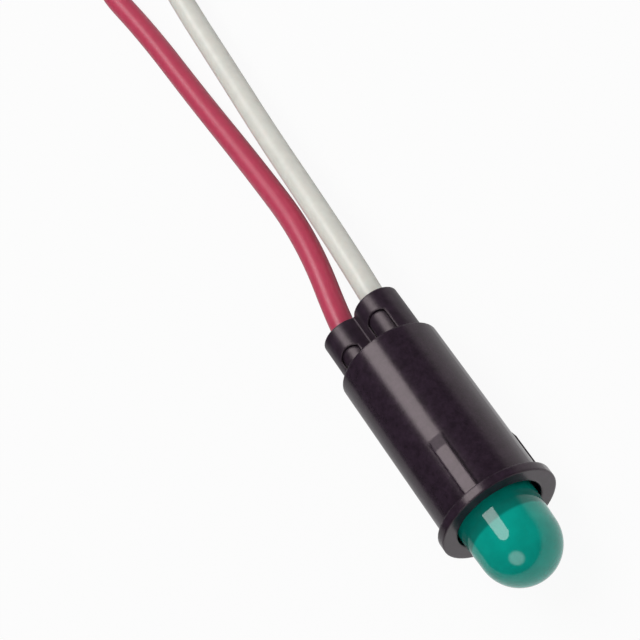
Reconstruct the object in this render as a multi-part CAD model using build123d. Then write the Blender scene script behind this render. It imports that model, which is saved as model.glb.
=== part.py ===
from build123d import *
import os
from math import cos, pi, radians, sin, tan

# LED panel indicator for a 6.35 mm panel hole: a moulded barrel with a thin front flange holds a
# 5 mm LED and its series resistor, and two tubular ears at the rear let out the two leads.
# Millimetres. The origin is the centre of the flange's back face, on the barrel's axis.
# +Y runs to the rear, where the leads come out, the lens points to -Y, and +Z is up.

# ---- housing moulding ----
barrel_radius = 3.125
barrel_length = 11.09      # flange back to rear face
flange_radius = 3.575
flange_thickness = 0.56
flange_edge = 0.03         # chamfer on both of its rims
shoulder_edge = 0.05       # chamfer on the barrel's rear rim
rear_wall = 1.15

# ---- crush ribs that grip the panel hole ----
rib_count = 3
rib_clocking = 11.0        # degrees from +Z towards +X
rib_width = 0.86
rib_height = 0.22
rib_flat = 3.08            # full-height length, from the flange
rib_ramp = 0.89

# ---- ears, one for each lead ----
ear_pitch = 2.54
ear_radius = 1.43
ear_length = 3.41
ear_edge = 0.05            # chamfer on the rear rim
ear_web = 0.10             # fillet in the two valleys where the ears meet

# ---- tongue in the top of each ear ----
tongue_width = 1.36
tongue_rise = 0.30         # height of its arched end
tongue_reach_red = 1.87    # rear face of the barrel to the crown of the arch
tongue_reach_white = 2.25
tongue_sink = 0.10
slit_width = 0.07
slit_depth = 0.22

# ---- 5 mm LED ----
lens_radius = 2.44
lens_length = 8.60
lens_stand_out = 4.35      # tip in front of the flange
lens_taper = 2.0           # degrees, on the part that stands out
lens_offset = -0.08        # the lens sits off the bore's axis along X
bore_clearance = 0.21
bore_chamfer = 0.04
seat_width = 0.30          # shoulder that the lens rests on
glue_length = 0.90
leg_size = 0.50
leg_pitch = 2.54
post_height = 0.60         # lead frame's top behind the dome's centre
cup_radius = 0.56
cup_depth = 0.28
cup_floor_radius = 0.30
anvil_height = 1.50
frame_gap = 0.34
chip_size = 0.30
chip_height = 0.16
bond_wire_radius = 0.03
bond_wire_rise = 0.42
anode_stub = 0.55          # anode leg behind the lens

# ---- resistor and joints inside the barrel ----
resistor_radius = 0.76
resistor_waist = 0.64
resistor_length = 2.30
resistor_wire_radius = 0.23
joint_length = 0.60
joint_radius = 0.56
splice_gap = 0.25          # from one piece on the line to the next
sleeve_wall = 0.12
sleeve_clearance = 0.06

# ---- leads ----
wire_radius = 0.75         # over the insulation
conductor_radius = 0.30
wire_clearance = 0.15      # round the wire in its ear
strip_inside = 0.70
strip_outside = 4.0

# ---- hank that the spare length is folded into ----
hank_x = 0.30              # lane where the leads come in
hank_start = 58.0
hank_run = 25.5
hank_far_fold = 5.25
hank_near_fold = 4.50
hank_end_setback = 3.0     # from the cut end of the insulation to the far fold
band_width = 3.5
band_thickness = 0.20
band_edge_radius = 0.15

# ---- sizes that follow ----
bore_radius = lens_radius + bore_clearance
lens_tip_y = -(flange_thickness + lens_stand_out)
lens_base_y = lens_tip_y + lens_length
cavity_radius = bore_radius - seat_width
cavity_end = barrel_length - rear_wall
rib_radius = barrel_radius + rib_height
ear_end = barrel_length + ear_length
ear_bore_radius = wire_radius + wire_clearance
red_x = -ear_pitch / 2
white_x = ear_pitch / 2
anode_x = lens_offset - leg_pitch / 2
cathode_x = lens_offset + leg_pitch / 2
lead_start = cavity_end - splice_gap
conductor_start = lead_start - strip_inside
anode_end = lens_base_y + anode_stub
resistor_front = anode_end + joint_length / 2 + splice_gap
resistor_rear = resistor_front + resistor_length
wire_diameter = 2 * wire_radius
floor_z = -flange_radius
red_level = floor_z + band_thickness + wire_radius
white_level = red_level + wire_diameter

# Routes of the two leads from inside the ears to the hank, chosen by hand.
red_route = [
    (red_x, lead_start, 0.0), (red_x, 11.0, 0.0), (-1.42, 14.2, 0.0), (0.03, 21.6, -0.62),
    (-0.62, 29.5, -2.05), (-1.19, 37.0, -2.68), (-1.42, 44.2, -2.76), (-1.94, 49.3, -2.72),
    (hank_x, 54.4, red_level), (hank_x, hank_start, red_level)]
white_route = [
    (white_x, lead_start, 0.0), (white_x, 13.1, 0.0), (1.60, 18.0, -0.06), (1.68, 23.5, -0.50),
    (1.59, 29.8, -1.32), (1.78, 36.0, -1.78), (2.05, 41.6, -1.80), (2.62, 46.6, -1.45),
    (hank_x, 53.2, white_level), (hank_x, hank_start, white_level)]


def rod(radius, y_from, y_to, x=0.0, z=0.0):
    """Cylinder along Y."""
    plane = Plane(origin=(x, y_from, z), x_dir=(1, 0, 0), z_dir=(0, 1, 0))
    return extrude(plane * Circle(radius), y_to - y_from)


def bar(width, height, y_from, y_to, x=0.0, z=0.0):
    """Rectangular bar along Y."""
    return Pos(x, (y_from + y_to) / 2, z) * Box(width, y_to - y_from, height)


def turned(points, x=0.0):
    """Solid turned about a line along Y from its (radius, y) outline."""
    return Pos(x, 0, 0) * revolve(make_face(Polyline(*points, close=True)), Axis.Y)


def rims(solid, radius, y):
    """Circular edges of one radius at one place along Y."""
    circles = solid.edges().filter_by(GeomType.CIRCLE)
    return circles.filter_by(
        lambda e: abs(e.radius - radius) < 1e-4 and abs(e.arc_center.Y - y) < 1e-4)


# ---- housing ----
def ribs():
    """Crush ribs: concentric lands with a lead-in ramp at the rear, cut to width."""
    land = turned([(barrel_radius - 0.5, -flange_thickness / 2), (rib_radius, -flange_thickness / 2),
                   (rib_radius, rib_flat), (barrel_radius, rib_flat + rib_ramp),
                   (barrel_radius - 0.5, rib_flat + rib_ramp)])
    slab = Pos(0, 0, flange_radius) * Box(rib_width, 4 * barrel_length, 2 * flange_radius)
    rib = land & slab
    step = 360 / rib_count
    return [Rot(0, rib_clocking + step * k, 0) * rib for k in range(rib_count)]


def ears():
    """The two ears in one, rooted in the rear wall, with filleted valleys and a chamfered rear rim."""
    block = rod(ear_radius, cavity_end, ear_end, red_x) + rod(ear_radius, cavity_end, ear_end, white_x)
    valleys = block.edges().filter_by(Axis.Y).filter_by(lambda e: abs(e.center().X) < 1e-4)
    block = fillet(valleys, ear_web)
    return chamfer(block.faces().sort_by(Axis.Y)[-1].edges(), ear_edge)


def arch(width, reach, margin):
    """Arch-ended outline of a tongue, seen from above, from the barrel's rear face."""
    half = width / 2
    crown = barrel_length + reach
    spring = crown - tongue_rise
    start = barrel_length - margin
    sides = Polyline((half, spring), (half, start), (-half, start), (-half, spring))
    return make_face(sides + ThreePointArc((-half, spring), (0, crown), (half, spring)))


def tongue_cut(x, reach):
    """What a tongue takes out of an ear: a U-shaped slit, and the sink of its face."""
    outer = extrude(arch(tongue_width, reach, 0), 2 * ear_radius)
    inner = extrude(arch(tongue_width - 2 * slit_width, reach - slit_width, 1.0), 2 * ear_radius)
    core = barrel_length - 1, ear_end + 1
    slit = (outer - inner) - rod(ear_radius - slit_depth, *core)
    sink = outer - rod(ear_radius - tongue_sink, *core)
    return Pos(x, 0, 0) * (slit + sink)


def housing():
    body = turned([(0, -flange_thickness), (flange_radius, -flange_thickness), (flange_radius, 0),
                   (barrel_radius, 0), (barrel_radius, barrel_length), (0, barrel_length)])
    edges = rims(body, flange_radius, 0) + rims(body, flange_radius, -flange_thickness)
    body = chamfer(edges, flange_edge)
    body = chamfer(rims(body, barrel_radius, barrel_length), shoulder_edge)
    body += ribs()
    body += ears()
    body -= tongue_cut(red_x, tongue_reach_red)
    body -= tongue_cut(white_x, tongue_reach_white)
    body -= rod(bore_radius, -flange_thickness, lens_base_y)
    body -= rod(cavity_radius, lens_base_y, cavity_end)
    for x in (red_x, white_x):
        body -= rod(ear_bore_radius, cavity_end, ear_end, x)
    return chamfer(rims(body, bore_radius, -flange_thickness), bore_chamfer)


# ---- LED ----
def dome_radius():
    """Radius of the ball end that the tapered side runs into without a corner."""
    slope = tan(radians(lens_taper))
    lean = cos(radians(lens_taper)) - slope * (1 - sin(radians(lens_taper)))
    return (lens_radius - slope * lens_stand_out) / lean


def lens_blank():
    """Outside of the lens: straight in its bore, tapered outside, with a ball end."""
    ball = dome_radius()
    centre_y = lens_tip_y + ball
    side = ball * cos(radians(lens_taper)), centre_y - ball * sin(radians(lens_taper))
    middle = radians((90 + lens_taper) / 2)
    crown = ThreePointArc((0, lens_tip_y), (ball * cos(middle), centre_y - ball * sin(middle)), side)
    wall = Polyline(side, (lens_radius, -flange_thickness), (lens_radius, lens_base_y),
                    (0, lens_base_y), (0, lens_tip_y))
    return Pos(lens_offset, 0, 0) * revolve(make_face(crown + wall), Axis.Y)


def frame_top():
    """Place of the lead frame's top along Y."""
    return lens_tip_y + dome_radius() + post_height


def cathode_frame():
    """Cathode leg with the anvil and its reflector cup, which holds the chip."""
    top = frame_top()
    cup = turned([(0, top + 1.2 * cup_depth), (cup_radius, top + 1.2 * cup_depth), (cup_radius, top),
                  (cup_radius - 0.08, top), (cup_floor_radius, top + cup_depth),
                  (0, top + cup_depth)], lens_offset)
    low = top + anvil_height
    left = lens_offset - leg_pitch / 2 + leg_size / 2 + frame_gap
    right = cathode_x + leg_size / 2
    corners = [(left, top + 1.2 * cup_depth), (lens_offset + cup_radius, top + 1.2 * cup_depth),
               (right, top + anvil_height / 2), (right, low), (cathode_x - leg_size / 2, low)]
    anvil = extrude(make_face(Polyline(*corners, close=True)), leg_size / 2, both=True)
    leg = bar(leg_size, leg_size, low, conductor_start, cathode_x)
    return anvil + leg + cup


def anode_frame():
    """Anode leg with the small flag that takes the bond wire."""
    top = frame_top()
    inner = anode_x + leg_size / 2
    corners = [(anode_x - leg_size / 2, top + leg_size), (anode_x, top), (inner, top),
               (inner, top + anvil_height), (anode_x - leg_size / 2, top + anvil_height)]
    flag = extrude(make_face(Polyline(*corners, close=True)), leg_size / 2, both=True)
    return flag + bar(leg_size, leg_size, top + anvil_height, anode_end, anode_x)


def led_chip():
    base = frame_top() + cup_depth
    return bar(chip_size, chip_size, base - chip_height, base, lens_offset)


def bond_wire():
    """Fine wire looped from the chip's face to the anode flag."""
    start = (lens_offset, frame_top() + cup_depth - chip_height)
    end = (anode_x + leg_size / 4, frame_top())
    crest = ((start[0] + end[0]) / 2, frame_top() - bond_wire_rise)
    path = ThreePointArc(start, crest, end)
    loop = sweep(Plane(path @ 0, z_dir=path % 0) * RegularPolygon(bond_wire_radius, 6), path)
    return loop - cathode_frame() - anode_frame() - led_chip()


def glue_ring():
    """Adhesive between the lens and its bore, at the seat."""
    start = lens_base_y - glue_length
    return rod(bore_radius, start, lens_base_y) - rod(lens_radius, start, lens_base_y, lens_offset)


# ---- resistor, joints and sleeves ----
def resistor():
    """Axial resistor body with its two end caps as wider lands."""
    start, end = resistor_front, resistor_rear
    land = 0.24 * resistor_length
    step = 0.35 * (resistor_radius - resistor_waist) + 0.1
    outline = [(0, start), (resistor_radius - 0.1, start), (resistor_radius, start + 0.1),
               (resistor_radius, start + land), (resistor_waist, start + land + step),
               (resistor_waist, end - land - step), (resistor_radius, end - land),
               (resistor_radius, end - 0.1), (resistor_radius - 0.1, end), (0, end)]
    return turned(outline, red_x)


def joint(y_middle, x, pieces):
    """Solder fillet round a butted pair, domed at both ends."""
    half = joint_length / 2
    blob = turned([(0, y_middle - half), (0.6 * joint_radius, y_middle - half),
                   (joint_radius, y_middle - half / 2), (joint_radius, y_middle + half / 2),
                   (0.6 * joint_radius, y_middle + half), (0, y_middle + half)], x)
    for piece in pieces:
        blob -= piece
    return blob


def sleeve(inside, y_from, y_to, x):
    """Shrunk sleeve over a joint."""
    inner = inside + sleeve_clearance
    return rod(inner + sleeve_wall, y_from, y_to, x) - rod(inner, y_from, y_to, x)


# ---- leads ----
def bend_radii(points, label):
    """Arc radius at each corner of a route: 0.45 of the shorter run over the tangent of half the turn."""
    radii = []
    for before, here, after in zip(points, points[1:], points[2:]):
        run_in = Vector(*here) - Vector(*before)
        run_out = Vector(*after) - Vector(*here)
        turn = radians(run_in.get_angle(run_out))
        radii.append(0.45 * min(run_in.length, run_out.length) / tan(turn / 2))
    print(label, "bend radii:", [round(r, 1) for r in radii])
    return radii


def tube(points, label):
    """Insulated wire along straight runs joined by tangent arcs."""
    path = FilletPolyline(*points, radius=bend_radii(points, label))
    wire = sweep(Plane(path @ 0, z_dir=path % 0) * Circle(wire_radius), path)
    print(label, "length", round(path.length, 2), "volume ratio",
          round(wire.volume / (pi * wire_radius**2 * path.length), 4))
    return wire


def half_ring(x, y, radius, far):
    """Fold of the hank, seen from above, on the far or the near side of y."""
    ring = Pos(x, y) * (Circle(radius + wire_radius) - Circle(radius - wire_radius))
    reach = 2 * radius
    side = reach / 2 if far else -reach / 2
    return ring & Pos(x, y + side) * Rectangle(2 * reach, reach)


def lane(x, y_from, y_to):
    """Straight run of the hank, seen from above."""
    return Pos(x, (y_from + y_to) / 2) * Rectangle(wire_diameter, y_to - y_from)


hank_far = hank_start + hank_run
hank_right = hank_x + 2 * hank_far_fold
hank_inner_x = hank_right - 2 * hank_near_fold
hank_end = hank_far - hank_end_setback


def hank(level):
    """One lead's flat hank: out along the left, back along the right, and in again."""
    outline = lane(hank_x, hank_start, hank_far) + lane(hank_right, hank_start, hank_far)
    outline += lane(hank_inner_x, hank_start, hank_end)
    outline += half_ring(hank_x + hank_far_fold, hank_far, hank_far_fold, True)
    outline += half_ring(hank_right - hank_near_fold, hank_start, hank_near_fold, False)
    return extrude(Pos(0, 0, level - wire_radius) * outline, wire_diameter)


def tip(level):
    """Stripped and tinned end of a lead."""
    return rod(conductor_radius, hank_end, hank_end + strip_outside, hank_inner_x, level)


def hank_band():
    """Band round the middle of the hank, which it lies on."""
    left = hank_x - wire_radius
    right = hank_right + wire_radius
    low = red_level - wire_radius
    high = white_level + wire_radius
    middle = (left + right) / 2, hank_start + hank_run / 2 - band_width / 2, (low + high) / 2
    plane = Plane(origin=middle, x_dir=(1, 0, 0), z_dir=(0, 1, 0))
    inner = Rectangle(right - left, high - low)
    outer = RectangleRounded(right - left + 2 * band_thickness, high - low + 2 * band_thickness,
                             band_edge_radius)
    return extrude(plane * (outer - inner), band_width)


def all_pieces():
    """Every piece by its node name."""
    cathode, anode = cathode_frame(), anode_frame()
    chip, bond = led_chip(), bond_wire()
    front_wire = rod(resistor_wire_radius, anode_end, resistor_front, red_x)
    rear_wire = rod(resistor_wire_radius, resistor_rear, conductor_start, red_x)
    red_core = rod(conductor_radius, conductor_start, lead_start, red_x)
    white_core = rod(conductor_radius, conductor_start, lead_start, white_x)
    sleeve_end = cavity_end - splice_gap / 2
    return {
        "housing": housing(),
        "led_lens": lens_blank() - cathode - anode - chip - bond,
        "cathode_frame": cathode,
        "anode_frame": anode,
        "led_chip": chip,
        "bond_wire": bond,
        "glue_ring": glue_ring(),
        "resistor_body": resistor(),
        "resistor_wire_front": front_wire,
        "resistor_wire_rear": rear_wire,
        "anode_joint": joint(anode_end, red_x, [anode, front_wire]),
        "red_joint": joint(conductor_start, red_x, [rear_wire, red_core]),
        "white_joint": joint(conductor_start, white_x, [cathode, white_core]),
        "red_sleeve": sleeve(max(resistor_radius, wire_radius), anode_end - joint_length / 2,
                             sleeve_end, red_x),
        "white_sleeve": sleeve(wire_radius, conductor_start - joint_length, sleeve_end, white_x),
        "red_core": red_core,
        "white_core": white_core,
        "red_lead": tube(red_route, "red lead"),
        "white_lead": tube(white_route, "white lead"),
        "red_hank": hank(red_level),
        "white_hank": hank(white_level),
        "red_tip": tip(red_level),
        "white_tip": tip(white_level),
        "hank_band": hank_band(),
    }


os.makedirs("parts", exist_ok=True)
for node, shape in all_pieces().items():
    export_step(shape, f"parts/{node}.step")
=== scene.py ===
"""Looks of a round LED panel indicator.

Its pieces are a moulded housing, a tinted lens and two insulated leads folded into a hank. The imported
model gives every size and place. Lengths are in metres, in the model's own frame: the barrel's axis is Y,
the lens points to -Y, the leads leave to +Y and Z is up.
"""

import math

import bmesh
import bpy
from bpy.props import FloatProperty, FloatVectorProperty, IntProperty, PointerProperty
from mathutils import Matrix, Vector


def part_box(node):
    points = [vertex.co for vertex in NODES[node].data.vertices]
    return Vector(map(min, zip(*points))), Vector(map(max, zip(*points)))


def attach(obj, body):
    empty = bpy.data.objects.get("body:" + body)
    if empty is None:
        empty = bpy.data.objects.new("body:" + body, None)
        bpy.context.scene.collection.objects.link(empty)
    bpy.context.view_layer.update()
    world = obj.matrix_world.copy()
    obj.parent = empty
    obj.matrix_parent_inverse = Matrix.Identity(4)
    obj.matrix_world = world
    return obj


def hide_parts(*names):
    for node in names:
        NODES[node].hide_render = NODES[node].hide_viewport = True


bl_info = {
    "name": "LED Panel Indicator",
    "version": (1, 0, 0),
    "blender": (4, 5, 0),
    "location": "View3D > Sidebar > Indicator",
    "description": "Builds the looks of an LED panel indicator round its packed model",
    "category": "Object",
}

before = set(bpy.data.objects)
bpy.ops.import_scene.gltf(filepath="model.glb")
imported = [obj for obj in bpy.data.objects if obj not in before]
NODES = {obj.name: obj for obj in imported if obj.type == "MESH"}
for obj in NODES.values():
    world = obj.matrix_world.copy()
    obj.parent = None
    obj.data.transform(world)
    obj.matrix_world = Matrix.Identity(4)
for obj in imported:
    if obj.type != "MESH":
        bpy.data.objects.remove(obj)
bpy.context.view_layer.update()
MM = 0.001
MERGE_DISTANCE = 1e-8


def span(node, axis):
    """Lowest and highest place of a node along an axis."""
    low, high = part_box(node)
    return low[axis], high[axis]


FLANGE_FRONT, EAR_END = span("housing", 1)
EAR_LENGTH = 3.41 * MM
EAR_START = EAR_END - EAR_LENGTH
FLOOR_Z = span("housing", 2)[0]

LENS_TIP, LENS_BASE = span("led_lens", 1)
LENS_RADIUS = span("led_lens", 2)[1]
LENS_X = sum(span("led_lens", 0)) / 2
LENS_TAPER = math.radians(2.0)
LENS_BASE_EDGE = 0.15 * MM

# Shares of the tint at distances in front of the flange: painted shade at the foot, where the lens stands
# in its bore, then a paler ring of painted light.
FOOT_REACH = 2.5 * MM
FOOT_PAINTED_LIGHT_AND_SHADE = (
    (2.30 * MM, 0.91), (1.32 * MM, 1.0), (1.20 * MM, 1.0),
    (1.06 * MM, 0.51), (0.60 * MM, 0.53), (0.10 * MM, 0.80))

WIRE_RADIUS = (span("white_hank", 2)[1] - span("white_hank", 2)[0]) / 2
RED_LEVEL = sum(span("red_hank", 2)) / 2
WHITE_LEVEL = sum(span("white_hank", 2)) / 2
HANK_X = span("red_hank", 0)[0] + WIRE_RADIUS
HANK_RIGHT = span("red_hank", 0)[1] - WIRE_RADIUS
HANK_INNER_X = sum(span("red_tip", 0)) / 2
HANK_END = span("red_tip", 1)[0]
FAR_FOLD = (HANK_RIGHT - HANK_X) / 2
NEAR_FOLD = (HANK_RIGHT - HANK_INNER_X) / 2
HANK_START = span("red_hank", 1)[0] + WIRE_RADIUS + NEAR_FOLD
HANK_FAR = span("red_hank", 1)[1] - WIRE_RADIUS - FAR_FOLD

BAND_THICKNESS = 0.2 * MM
BAND_BEND = 1.1 * WIRE_RADIUS

# Routes of the two leads from inside the ears to the hank.
RED_ROUTE = [
    (-0.00127, 0.00969, 0.0), (-0.00127, 0.01100, 0.0), (-0.00142, 0.01420, 0.0),
    (0.00003, 0.02160, -0.00062), (-0.00062, 0.02950, -0.00205), (-0.00119, 0.03700, -0.00268),
    (-0.00142, 0.04420, -0.00276), (-0.00207, 0.05050, -0.00271), (0.00030, 0.05500, -0.002625),
    (0.00030, 0.05800, -0.002625)]
WHITE_ROUTE = [
    (0.00127, 0.00969, 0.0), (0.00127, 0.01310, 0.0), (0.00160, 0.01800, -0.00006),
    (0.00168, 0.02350, -0.00050), (0.00159, 0.02980, -0.00132), (0.00178, 0.03600, -0.00178),
    (0.00205, 0.04160, -0.00180), (0.00262, 0.04660, -0.00145), (0.00030, 0.05320, -0.001125),
    (0.00030, 0.05800, -0.001125)]


# ---- settings ----
class IndicatorSettings(bpy.types.PropertyGroup):
    """Sizes and colours of the indicator's looks."""

    housing_colour: FloatVectorProperty(
        name="Housing", description="Colour of the moulded housing", subtype="COLOR",
        default=(0.026, 0.015, 0.026), min=0, max=1)
    lens_colour: FloatVectorProperty(
        name="Lens", description="Tint of the lens", subtype="COLOR",
        default=(0.0, 0.465, 0.37), min=0, max=1)
    red_colour: FloatVectorProperty(
        name="Red lead", description="Colour of the positive lead's insulation", subtype="COLOR",
        default=(0.585, 0.060, 0.122), min=0, max=1)
    white_colour: FloatVectorProperty(
        name="White lead", description="Colour of the negative lead's insulation", subtype="COLOR",
        default=(0.81, 0.80, 0.735), min=0, max=1)
    lens_segments: IntProperty(
        name="Lens segments", description="Segments round the lens", default=96, min=24, max=256)
    strand_count: IntProperty(
        name="Strands", description="Strands round the middle one in a bare end", default=6, min=3, max=12)
    strand_lay: FloatProperty(
        name="Strand lay", description="Length of one full twist of the strands", subtype="DISTANCE",
        default=9 * MM, min=2 * MM, max=30 * MM, precision=4)


class StageSettings(bpy.types.PropertyGroup):
    """Light and floor of the stage."""

    floor_colour: FloatVectorProperty(
        name="Floor", description="Colour of the floor", subtype="COLOR",
        default=(0.65, 0.65, 0.65), min=0, max=1)
    floor_radius: FloatProperty(
        name="Floor radius", description="Radius of the round floor", subtype="DISTANCE", default=4.0)
    floor_white: FloatProperty(
        name="Floor to the eye", description="Share of plain white in what the camera sees of the floor",
        default=0.94, min=0, max=1)
    floor_glow: FloatProperty(
        name="Floor in mirrors", description="Share of plain white in what surfaces mirror of the floor",
        default=1.0, min=0, max=1)
    lamp_distance: FloatProperty(
        name="Lamp distance", description="Softbox to the indicator", subtype="DISTANCE", default=0.5)
    lamp_radiance: FloatProperty(
        name="Lamp radiance", description="Brightness of the softbox's face, where 1 is white", default=5.0)
    fill_radiance: FloatProperty(
        name="Fill radiance", description="Brightness of the soft patch in front", default=2.6)
    rear_radiance: FloatProperty(
        name="Rear radiance", description="Brightness of the soft patch behind", default=1.4)
    side_radiance: FloatProperty(
        name="Light from the right", description="Soft light that only matt surfaces take up", default=0.4)
    sky_low: FloatProperty(
        name="Sky at the horizon", description="Brightness of the room near the floor", default=0.8)
    sky_high: FloatProperty(
        name="Sky overhead", description="Brightness of the room overhead", default=0.06)


# ---- materials ----
class Nodes:
    """Short ways to add nodes to a tree."""

    def __init__(self, tree):
        self.tree = tree

    def add(self, kind, **values):
        node = self.tree.nodes.new(kind)
        for name, value in values.items():
            setattr(node, name, value)
        return node

    def set(self, node, socket, value):
        found = node.inputs[socket]
        found.default_value = (*value, 1.0) if found.type == "RGBA" else value

    def link(self, output, node, socket):
        self.tree.links.new(output, node.inputs[socket])

    def math(self, operation, first, second):
        """A number worked out from a socket and another socket or a value."""
        node = self.add("ShaderNodeMath", operation=operation)
        self.link(first, node, 0)
        if isinstance(second, bpy.types.NodeSocket):
            self.link(second, node, 1)
        else:
            node.inputs[1].default_value = second
        return node.outputs[0]

    def dot(self, place, direction):
        """How far a place lies along a direction."""
        node = self.add("ShaderNodeVectorMath", operation="DOT_PRODUCT")
        node.inputs[1].default_value = direction
        self.link(place, node, 0)
        return node.outputs["Value"]

    def between(self, factor, low, high, low_in=0.3, high_in=0.7, steps="LINEAR"):
        """A value from low to high as a factor goes over its range."""
        node = self.add("ShaderNodeMapRange", interpolation_type=steps)
        self.set(node, "From Min", low_in)
        self.set(node, "From Max", high_in)
        self.set(node, "To Min", low)
        self.set(node, "To Max", high)
        self.link(factor, node, "Value")
        return node.outputs["Result"]


class Shading(Nodes):
    """A new material with its Principled shader."""

    def __init__(self, name, **values):
        self.material = bpy.data.materials.new(name)
        self.material.use_nodes = True
        super().__init__(self.material.node_tree)
        self.shader = self.tree.nodes["Principled BSDF"]
        self.place = self.add("ShaderNodeTexCoord").outputs["Object"]
        for socket, value in values.items():
            self.set(self.shader, socket.replace("_", " "), value)

    def along(self, axis):
        """Distance along one of the object's axes."""
        node = self.add("ShaderNodeSeparateXYZ")
        self.link(self.place, node, "Vector")
        return node.outputs[axis]

    def scaled(self, colour, factor):
        """A colour made darker or lighter by a factor."""
        node = self.add("ShaderNodeVectorMath", operation="SCALE")
        self.link(colour, node, "Vector")
        self.link(factor, node, "Scale")
        return node.outputs["Vector"]

    def noise(self, size, detail=2.0, roughness=0.5):
        """Noise whose grains are about that size."""
        node = self.add("ShaderNodeTexNoise")
        self.set(node, "Scale", 1 / size)
        self.set(node, "Detail", detail)
        self.set(node, "Roughness", roughness)
        self.link(self.place, node, "Vector")
        return node.outputs["Fac"]

    def ramp(self, factor, stops):
        """Colour for each place of a 0 to 1 factor."""
        node = self.add("ShaderNodeValToRGB")
        elements = node.color_ramp.elements
        elements.remove(elements[1])
        elements[0].position = stops[0][0]
        elements[0].color = (*stops[0][1], 1.0)
        for place, colour in stops[1:]:
            elements.new(place).color = (*colour, 1.0)
        self.link(factor, node, "Fac")
        return node.outputs["Color"]

    def bump(self, height, depth, edge=0.0):
        """Relief on the surface, and edges rounded off to a radius."""
        node = self.add("ShaderNodeBump")
        self.set(node, "Distance", depth)
        self.link(height, node, "Height")
        if edge:
            rounded = self.add("ShaderNodeBevel", samples=6)
            self.set(rounded, "Radius", edge)
            self.link(rounded.outputs["Normal"], node, "Normal")
        self.link(node.outputs["Normal"], self.shader, "Normal")


def shades(colour, spread):
    """A colour a little darker and a little lighter."""
    return [tuple(min(1.0, c * k) for c in colour) for k in (1 - spread, 1 + spread)]


def moulded_plastic(colour):
    """Semi-gloss moulded nylon, mottled, with a fine orange peel and duller ears."""
    made = Shading("moulded nylon", IOR=1.53)
    made.set(made.shader, "Specular IOR Level", 0.42)
    made.set(made.shader, "Specular Tint", (1.0, 0.86, 0.88))
    low, high = shades(colour, 0.35)
    mottle = made.noise(0.5 * MM, 6.0, 0.75)
    made.link(made.ramp(mottle, [(0.35, low), (0.65, high)]), made.shader, "Base Color")
    grain = made.between(made.noise(0.12 * MM), 0.17, 0.25)
    duller = made.between(made.along("Y"), 0.0, 0.12, EAR_START, EAR_START + 0.1 * MM)
    made.link(made.math("ADD", grain, duller), made.shader, "Roughness")
    made.bump(made.noise(0.07 * MM, 3.0), 0.0018 * MM, edge=0.18 * MM)
    return made.material


def tinted_epoxy(colour):
    """Glossy epoxy whose tint partly diffuses the light, with painted shade at the foot where it stands in
    its bore and a paler ring of painted light in front of it.
    """
    made = Shading("tinted epoxy", Roughness=0.12, IOR=1.53, Transmission_Weight=0.15)
    made.set(made.shader, "Specular IOR Level", 0.0)
    made.set(made.shader, "Coat Weight", 0.9)
    made.set(made.shader, "Coat Roughness", 0.03)
    low, high = shades(colour, 0.06)
    tint = made.ramp(made.noise(0.9 * MM), [(0.35, low), (0.65, high)])
    # Painted shade at the foot and a ring of painted light, as a factor on the tint.
    foot = made.between(made.along("Y"), 0.0, 1.0, FLANGE_FRONT - FOOT_REACH, FLANGE_FRONT)
    shade = made.ramp(foot, [(1 - reach / FOOT_REACH, (share,) * 3) for reach, share in FOOT_PAINTED_LIGHT_AND_SHADE])
    made.link(made.scaled(tint, shade), made.shader, "Base Color")
    return made.material


def insulation(name, colour):
    """Satin PVC with faint mottling."""
    made = Shading(name, Roughness=0.42, IOR=1.52)
    made.set(made.shader, "Subsurface Weight", 0.15)
    made.set(made.shader, "Subsurface Radius", (1.0, 0.6, 0.5))
    made.set(made.shader, "Subsurface Scale", 0.2 * MM)
    low, high = shades(colour, 0.04)
    made.link(made.ramp(made.noise(0.6 * MM, 4.0), [(0.3, low), (0.7, high)]), made.shader, "Base Color")
    made.link(made.between(made.noise(0.2 * MM), 0.28, 0.42), made.shader, "Roughness")
    made.bump(made.noise(0.16 * MM, 3.0), 0.003 * MM)
    return made.material


def metal(name, colour, roughness, grain):
    """Bare metal with a fine grain."""
    made = Shading(name, Metallic=1.0, Roughness=roughness)
    low, high = shades(colour, 0.08)
    made.link(made.ramp(made.noise(grain), [(0.3, low), (0.7, high)]), made.shader, "Base Color")
    made.link(made.between(made.noise(grain / 2), roughness - 0.06, roughness + 0.06),
              made.shader, "Roughness")
    made.bump(made.noise(grain / 3), grain / 60)
    return made.material


def coated(name, colour, roughness, grain):
    """Plain non-metal surface: glue, sleeves, lacquer, chip, paper."""
    made = Shading(name, Roughness=roughness)
    low, high = shades(colour, 0.08)
    made.link(made.ramp(made.noise(grain, 4.0), [(0.3, low), (0.7, high)]), made.shader, "Base Color")
    made.link(made.between(made.noise(grain / 2), roughness - 0.05, roughness + 0.05),
              made.shader, "Roughness")
    made.bump(made.noise(grain / 2, 4.0), grain / 40)
    return made.material


# ---- making pieces ----
def finish(piece, material, slot, *nodes):
    """Dresses a new piece, and puts it in place of the nodes it stands for."""
    piece.data.materials.clear()
    piece.data.materials.append(material)
    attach(piece, "root")
    if nodes:
        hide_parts(*nodes)
    return piece


def dress(node, material):
    """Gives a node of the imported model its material."""
    NODES[node].data.materials.clear()
    NODES[node].data.materials.append(material)


def add_mesh(name, mesh, angle=30.0):
    """Turns a bmesh into an object, merged where it meets itself and smooth but for its corners."""
    bmesh.ops.remove_doubles(mesh, verts=mesh.verts, dist=MERGE_DISTANCE)
    bmesh.ops.recalc_face_normals(mesh, faces=mesh.faces)
    for face in mesh.faces:
        face.smooth = True
    for edge in mesh.edges:
        edge.smooth = len(edge.link_faces) == 2 and edge.calc_face_angle(0) < math.radians(angle)
    data = bpy.data.meshes.new(name)
    mesh.to_mesh(data)
    mesh.free()
    piece = bpy.data.objects.new(name, data)
    bpy.context.scene.collection.objects.link(piece)
    return piece


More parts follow.
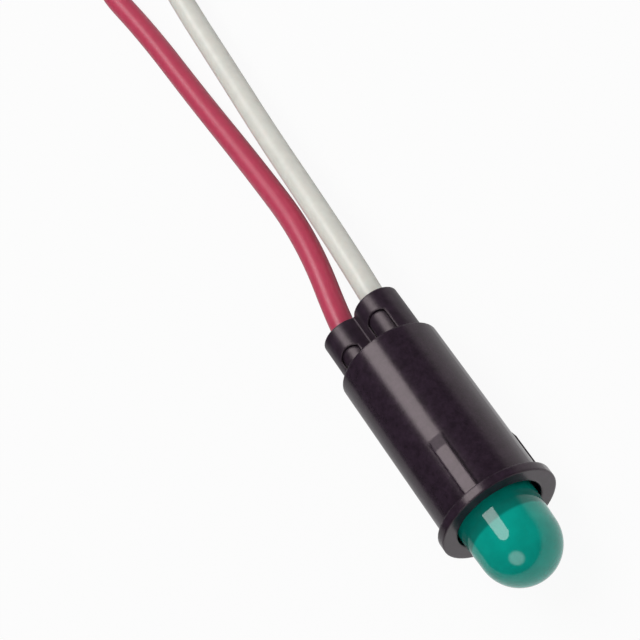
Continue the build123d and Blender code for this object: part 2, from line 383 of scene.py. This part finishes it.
def spun(outline, x, segments):
    """Closed shape turned about a line along Y from (radius, y) points that start and end on it."""
    mesh = bmesh.new()
    verts = [mesh.verts.new((x + radius, y, 0)) for radius, y in outline]
    edges = [mesh.edges.new(pair) for pair in zip(verts, verts[1:])]
    bmesh.ops.spin(mesh, geom=verts + edges, cent=(x, 0, 0), axis=(0, 1, 0),
                   angle=2 * math.pi, steps=segments, use_merge=True)
    return mesh


def arc(centre, radius, start, end, steps):
    """Points on an arc in an outline's own plane, with angles in degrees."""
    angles = [math.radians(start + (end - start) * k / steps) for k in range(steps + 1)]
    return [(centre[0] + radius * math.cos(a), centre[1] + radius * math.sin(a)) for a in angles]


# ---- lens ----
def lens_outline():
    """Outline of the lens from its tip to its base: ball end, tapered side, straight foot."""
    slope = math.tan(LENS_TAPER)
    stand_out = FLANGE_FRONT - LENS_TIP
    lean = math.cos(LENS_TAPER) - slope * (1 - math.sin(LENS_TAPER))
    ball = (LENS_RADIUS - slope * stand_out) / lean
    crown = arc((0, LENS_TIP + ball), ball, -90, -math.degrees(LENS_TAPER), 24)
    base_corner = (LENS_RADIUS - LENS_BASE_EDGE, LENS_BASE - LENS_BASE_EDGE)
    base = arc(base_corner, LENS_BASE_EDGE, 0, 90, 4)
    return [*crown, (LENS_RADIUS, FLANGE_FRONT), *base, (0, LENS_BASE)]


class INDICATOR_OT_lens(bpy.types.Operator):
    """Turns the lens and gives it its tinted epoxy"""

    bl_idname = "indicator.lens"
    bl_label = "Lens"

    def execute(self, context):
        settings = context.scene.indicator
        lens = add_mesh("lens", spun(lens_outline(), LENS_X, settings.lens_segments))
        finish(lens, tinted_epoxy(settings.lens_colour), "lens_green", "led_lens")
        return {"FINISHED"}


# ---- housing ----
class INDICATOR_OT_housing(bpy.types.Operator):
    """Gives the housing its moulded nylon"""

    bl_idname = "indicator.housing"
    bl_label = "Housing"

    def execute(self, context):
        dress("housing", moulded_plastic(context.scene.indicator.housing_colour))
        return {"FINISHED"}


# ---- inside the housing ----
class INDICATOR_OT_inside(bpy.types.Operator):
    """Dresses the lead frame, resistor, joints and sleeves"""

    bl_idname = "indicator.inside"
    bl_label = "Inside pieces"

    def execute(self, context):
        plate = coated("tin plate", (0.85, 0.85, 0.83), 0.5, 0.2 * MM)
        tinned = metal("tinned wire", (0.75, 0.75, 0.74), 0.3, 0.15 * MM)
        solder = metal("solder", (0.66, 0.66, 0.66), 0.38, 0.3 * MM)
        gold = metal("bond gold", (0.9, 0.66, 0.28), 0.2, 0.05 * MM)
        glue = coated("glue", (0.62, 0.56, 0.42), 0.3, 0.4 * MM)
        sleeving = coated("shrunk sleeve", (0.02, 0.02, 0.02), 0.5, 0.3 * MM)
        lacquer = coated("resistor lacquer", (0.6, 0.5, 0.36), 0.4, 0.5 * MM)
        chip = coated("led chip", (0.35, 0.35, 0.3), 0.25, 0.05 * MM)
        finishes = {
            plate: ("cathode_frame", "anode_frame"),
            tinned: ("resistor_wire_front", "resistor_wire_rear", "red_core", "white_core"),
            solder: ("anode_joint", "red_joint", "white_joint"),
            gold: ("bond_wire",),
            glue: ("glue_ring",),
            sleeving: ("red_sleeve", "white_sleeve"),
            lacquer: ("resistor_body",),
            chip: ("led_chip",),
        }
        for material, nodes in finishes.items():
            for node in nodes:
                dress(node, material)
        return {"FINISHED"}


# ---- leads ----
def fold(centre, radius, start, end, level):
    """Control points round a fold of the hank, just outside its line, with angles in degrees."""
    steps = 6
    reach = radius / math.cos(math.radians(90 / steps)) ** 0.5
    points = arc(centre, reach, start, end, steps)[1:-1]
    return [(x, y, level) for x, y in points]


def hank_points(level):
    """Control points of a lead's hank from the end of its route to its cut end."""
    far_centre = (HANK_X + FAR_FOLD, HANK_FAR)
    near_centre = (HANK_RIGHT - NEAR_FOLD, HANK_START)
    third = (HANK_FAR - HANK_START) / 3
    points = [(HANK_X, HANK_START + third, level), (HANK_X, HANK_FAR - third / 3, level),
              (HANK_X, HANK_FAR, level)]
    points += fold(far_centre, FAR_FOLD, 180, 0, level)
    points += [(HANK_RIGHT, HANK_FAR, level), (HANK_RIGHT, HANK_FAR - third, level),
               (HANK_RIGHT, HANK_START + third, level), (HANK_RIGHT, HANK_START, level)]
    points += fold(near_centre, NEAR_FOLD, 0, -180, level)
    points += [(HANK_INNER_X, HANK_START, level), (HANK_INNER_X, HANK_START + third, level),
               (HANK_INNER_X, HANK_END, level)]
    return points


def add_lead(name, route, level):
    """One lead as a round wire along a smooth line."""
    data = bpy.data.curves.new(name, "CURVE")
    data.dimensions = "3D"
    data.resolution_u = 10
    data.bevel_depth = WIRE_RADIUS
    data.bevel_resolution = 8
    data.use_fill_caps = True
    points = route + hank_points(level)
    spline = data.splines.new("NURBS")
    spline.points.add(len(points) - 1)
    for point, place in zip(spline.points, points):
        point.co = (*place, 1.0)
    spline.order_u = 3
    spline.use_endpoint_u = True
    lead = bpy.data.objects.new(name, data)
    bpy.context.scene.collection.objects.link(lead)
    return lead


def add_strands(name, level, length, radius, around, lay):
    """Bare end: strands twisted round a middle one, as one curve."""
    data = bpy.data.curves.new(name, "CURVE")
    data.dimensions = "3D"
    data.resolution_u = 4
    strand = radius / 3
    data.bevel_depth = strand
    data.bevel_resolution = 3
    data.use_fill_caps = True
    steps = 12
    for k in range(around + 1):
        orbit = 0 if k == around else 2 * strand
        spline = data.splines.new("NURBS")
        spline.points.add(steps)
        for step, point in enumerate(spline.points):
            along = length * step / steps
            angle = 2 * math.pi * (k / around + along / lay)
            point.co = (HANK_INNER_X + orbit * math.cos(angle), HANK_END + along,
                        level + orbit * math.sin(angle), 1.0)
        spline.order_u = 3
        spline.use_endpoint_u = True
    strands = bpy.data.objects.new(name, data)
    bpy.context.scene.collection.objects.link(strands)
    return strands


class INDICATOR_OT_leads(bpy.types.Operator):
    """Lays the two leads along their routes and into the hank, with their bare ends"""

    bl_idname = "indicator.leads"
    bl_label = "Leads"

    def execute(self, context):
        settings = context.scene.indicator
        tinned = metal("tinned strands", (0.78, 0.77, 0.75), 0.28, 0.1 * MM)
        colours = {
            "red": (RED_ROUTE, RED_LEVEL, settings.red_colour),
            "white": (WHITE_ROUTE, WHITE_LEVEL, settings.white_colour),
        }
        for colour, (route, level, shade) in colours.items():
            tip = colour + "_tip"
            start, end = span(tip, 1)
            radius = (span(tip, 2)[1] - span(tip, 2)[0]) / 2
            strands = add_strands(colour + "_strands", level, end - start, radius,
                                  settings.strand_count, settings.strand_lay)
            finish(strands, tinned, "tinned_wire", tip)
            lead = add_lead(colour + "_wire", route, level)
            finish(lead, insulation(colour + " insulation", shade), "insulation_" + colour,
                   colour + "_lead", colour + "_hank")
        return {"FINISHED"}


# ---- band round the hank ----
class INDICATOR_OT_band(bpy.types.Operator):
    """Wraps the paper band round the hank"""

    bl_idname = "indicator.band"
    bl_label = "Band"

    def execute(self, context):
        low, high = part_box("hank_band")
        mesh = bmesh.new()
        corners = [(low.x, low.z), (high.x, low.z), (high.x, high.z), (low.x, high.z)]
        verts = [mesh.verts.new((x, low.y, z)) for x, z in corners]
        edges = [mesh.edges.new((verts[k], verts[(k + 1) % 4])) for k in range(4)]
        wall = bmesh.ops.extrude_edge_only(mesh, edges=edges)["geom"]
        moved = [v for v in wall if isinstance(v, bmesh.types.BMVert)]
        bmesh.ops.translate(mesh, verts=moved, vec=(0, high.y - low.y, 0))
        bends = [e for e in mesh.edges if abs(e.verts[0].co.y - e.verts[1].co.y) > BAND_THICKNESS]
        bmesh.ops.bevel(mesh, geom=bends, offset=BAND_BEND, offset_type="OFFSET", segments=8,
                        profile=0.5, affect="EDGES", material=-1)
        bmesh.ops.recalc_face_normals(mesh, faces=mesh.faces)
        bmesh.ops.solidify(mesh, geom=mesh.faces[:], thickness=BAND_THICKNESS)
        band = add_mesh("band", mesh)
        finish(band, coated("band paper", (0.78, 0.75, 0.68), 0.7, 0.35 * MM), "band_paper", "hank_band")
        return {"FINISHED"}


# ---- stage ----
CAMERA_PLACE = Vector((0.033130, -0.046581, 0.094700))
CAMERA_BACK = Vector((0.29539, -0.52962, 0.79514))
CAMERA_ROLL = math.radians(-70.057)
CAMERA_LENS = 114.82


def add_camera():
    """Camera that looks down on the indicator from its front right, with the picture turned."""
    back = CAMERA_BACK.normalized()
    level = Vector((0, 0, 1)).cross(back).normalized()
    upright = back.cross(level)
    right = level * math.cos(CAMERA_ROLL) + upright * math.sin(CAMERA_ROLL)
    above = back.cross(right)
    data = bpy.data.cameras.new("camera")
    data.lens = CAMERA_LENS
    data.sensor_width = 36.0
    data.clip_start = 0.001
    data.clip_end = 50.0
    camera = bpy.data.objects.new("camera", data)
    turn = Matrix((right, above, back)).transposed()
    camera.matrix_world = Matrix.Translation(CAMERA_PLACE) @ turn.to_4x4()
    bpy.context.scene.collection.objects.link(camera)
    bpy.context.scene.camera = camera


# What mirrors see of the floor's white: it fades in from the rear left, and out with distance.
GLOW_TOWARDS = Vector((1.0, -1.0, 0.0)).normalized()
GLOW_START = -12 * MM
GLOW_REACH = 20 * MM


def white_floor(colour, to_the_eye, in_mirrors):
    """Pale floor that shows as white to the eye and partly in mirrors, and takes the shadow."""
    material = bpy.data.materials.new("floor")
    material.use_nodes = True
    made = Nodes(material.node_tree)
    shader = made.tree.nodes["Principled BSDF"]
    made.set(shader, "Base Color", colour)
    made.set(shader, "Roughness", 0.9)
    made.set(shader, "Specular IOR Level", 0.0)
    place = made.add("ShaderNodeTexCoord").outputs["Object"]
    across = made.dot(place, GLOW_TOWARDS)
    near = made.between(across, 0.0, in_mirrors, GLOW_START, 0.0, "SMOOTHSTEP")
    away = made.add("ShaderNodeVectorMath", operation="LENGTH")
    made.link(place, away, 0)
    fading = made.math("ADD", made.math("DIVIDE", away.outputs["Value"], GLOW_REACH), 1.0)
    glow = made.math("DIVIDE", near, fading)
    rays = made.add("ShaderNodeLightPath").outputs
    mirrored = made.math("MAXIMUM", rays["Is Glossy Ray"], rays["Is Transmission Ray"])
    share = made.math("ADD", made.math("MULTIPLY", rays["Is Camera Ray"], to_the_eye),
                      made.math("MULTIPLY", mirrored, glow))
    mix = made.add("ShaderNodeMixShader")
    made.link(share, mix, "Fac")
    made.link(shader.outputs[0], mix, 1)
    made.link(made.add("ShaderNodeEmission").outputs[0], mix, 2)
    made.link(mix.outputs[0], made.tree.nodes["Material Output"], "Surface")
    return material


SKY_UP = Vector((-0.25, 0.0, 0.97))
SKY_FADE = (-0.40, -0.04)
FILL_TOWARDS = Vector((-0.24, -0.72, 0.65)).normalized()
REAR_TOWARDS = Vector((0.02, 0.87, 0.50)).normalized()
SIDE_TOWARDS = Vector((1.0, 0.0, 0.0))
PATCH_EDGE = math.cos(math.radians(23))
PATCH_CORE = math.cos(math.radians(13))


def add_world(low, high, fill, rear, side):
    """Dim room, paler near the floor on the right, with soft patches of light in front and behind.

    A further soft light from the right reaches matt surfaces only.
    """
    world = bpy.data.worlds.new("room")
    world.use_nodes = True
    made = Nodes(world.node_tree)
    towards = made.add("ShaderNodeTexCoord").outputs["Generated"]

    def patch(direction, radiance):
        return made.between(made.dot(towards, direction), 0.0, radiance, PATCH_EDGE, PATCH_CORE,
                            "SMOOTHSTEP")

    sky = made.between(made.dot(towards, SKY_UP), low, high, *SKY_FADE, "SMOOTHSTEP")
    beside = made.between(made.dot(towards, SIDE_TOWARDS), 0.0, side, 0.0, 1.0)
    matt = made.math("MULTIPLY", beside, made.add("ShaderNodeLightPath").outputs["Is Diffuse Ray"])
    room = made.math("ADD", sky, matt)
    patches = made.math("ADD", patch(FILL_TOWARDS, fill), patch(REAR_TOWARDS, rear))
    background = made.tree.nodes["Background"]
    made.set(background, "Color", (1, 1, 1))
    made.link(made.math("ADD", room, patches), background, "Strength")
    bpy.context.scene.world = world


LAMP_TOWARDS = Vector((0.02, 0.44, 0.90)).normalized()
LAMP_WIDTH = 0.57
LAMP_DEPTH = 0.78


def add_lamp(name, towards, distance, radiance):
    """Oval softbox that faces the indicator. Its sides are shares of its distance."""
    width, depth = LAMP_WIDTH * distance, LAMP_DEPTH * distance
    data = bpy.data.lights.new(name, "AREA")
    data.shape = "ELLIPSE"
    data.size = width
    data.size_y = depth
    face = math.pi / 4 * width * depth
    data.energy = math.pi * face * radiance
    lamp = bpy.data.objects.new(name, data)
    lamp.location = towards * distance
    lamp.rotation_euler = towards.to_track_quat("Z", "Y").to_euler()
    bpy.context.scene.collection.objects.link(lamp)


class INDICATOR_OT_stage(bpy.types.Operator):
    """Sets the floor, the softbox, the room and the camera"""

    bl_idname = "indicator.stage"
    bl_label = "Stage"

    def execute(self, context):
        settings = context.scene.indicator_stage
        mesh = bmesh.new()
        bmesh.ops.create_circle(mesh, cap_ends=True, segments=96, radius=settings.floor_radius)
        bmesh.ops.translate(mesh, verts=mesh.verts, vec=(0, 0, FLOOR_Z))
        floor = add_mesh("floor", mesh)
        floor.data.materials.append(white_floor(settings.floor_colour, settings.floor_white,
                                                settings.floor_glow))
        add_world(settings.sky_low, settings.sky_high, settings.fill_radiance,
                  settings.rear_radiance, settings.side_radiance)
        add_lamp("softbox", LAMP_TOWARDS, settings.lamp_distance, settings.lamp_radiance)
        add_camera()
        context.scene.view_settings.view_transform = "Standard"
        return {"FINISHED"}


class INDICATOR_PT_panel(bpy.types.Panel):
    """Settings of the indicator and a button for each group of pieces"""

    bl_label = "LED Panel Indicator"
    bl_idname = "INDICATOR_PT_panel"
    bl_space_type = "VIEW_3D"
    bl_region_type = "UI"
    bl_category = "Indicator"

    def draw(self, context):
        layout = self.layout
        for group in (context.scene.indicator, context.scene.indicator_stage):
            for name in group.__annotations__:
                layout.prop(group, name)
        for operator in OPERATORS:
            layout.operator(operator.bl_idname)


OPERATORS = (
    INDICATOR_OT_stage,
    INDICATOR_OT_housing,
    INDICATOR_OT_lens,
    INDICATOR_OT_inside,
    INDICATOR_OT_band,
    INDICATOR_OT_leads,
)
CLASSES = (IndicatorSettings, StageSettings, *OPERATORS, INDICATOR_PT_panel)


def register():
    for cls in CLASSES:
        bpy.utils.register_class(cls)
    bpy.types.Scene.indicator = PointerProperty(type=IndicatorSettings)
    bpy.types.Scene.indicator_stage = PointerProperty(type=StageSettings)


def unregister():
    del bpy.types.Scene.indicator_stage
    del bpy.types.Scene.indicator
    for cls in reversed(CLASSES):
        bpy.utils.unregister_class(cls)


def main():
    register()
    for operator in OPERATORS:
        group, name = operator.bl_idname.split(".")
        getattr(getattr(bpy.ops, group), name)()


if __name__ == "__main__":
    main()
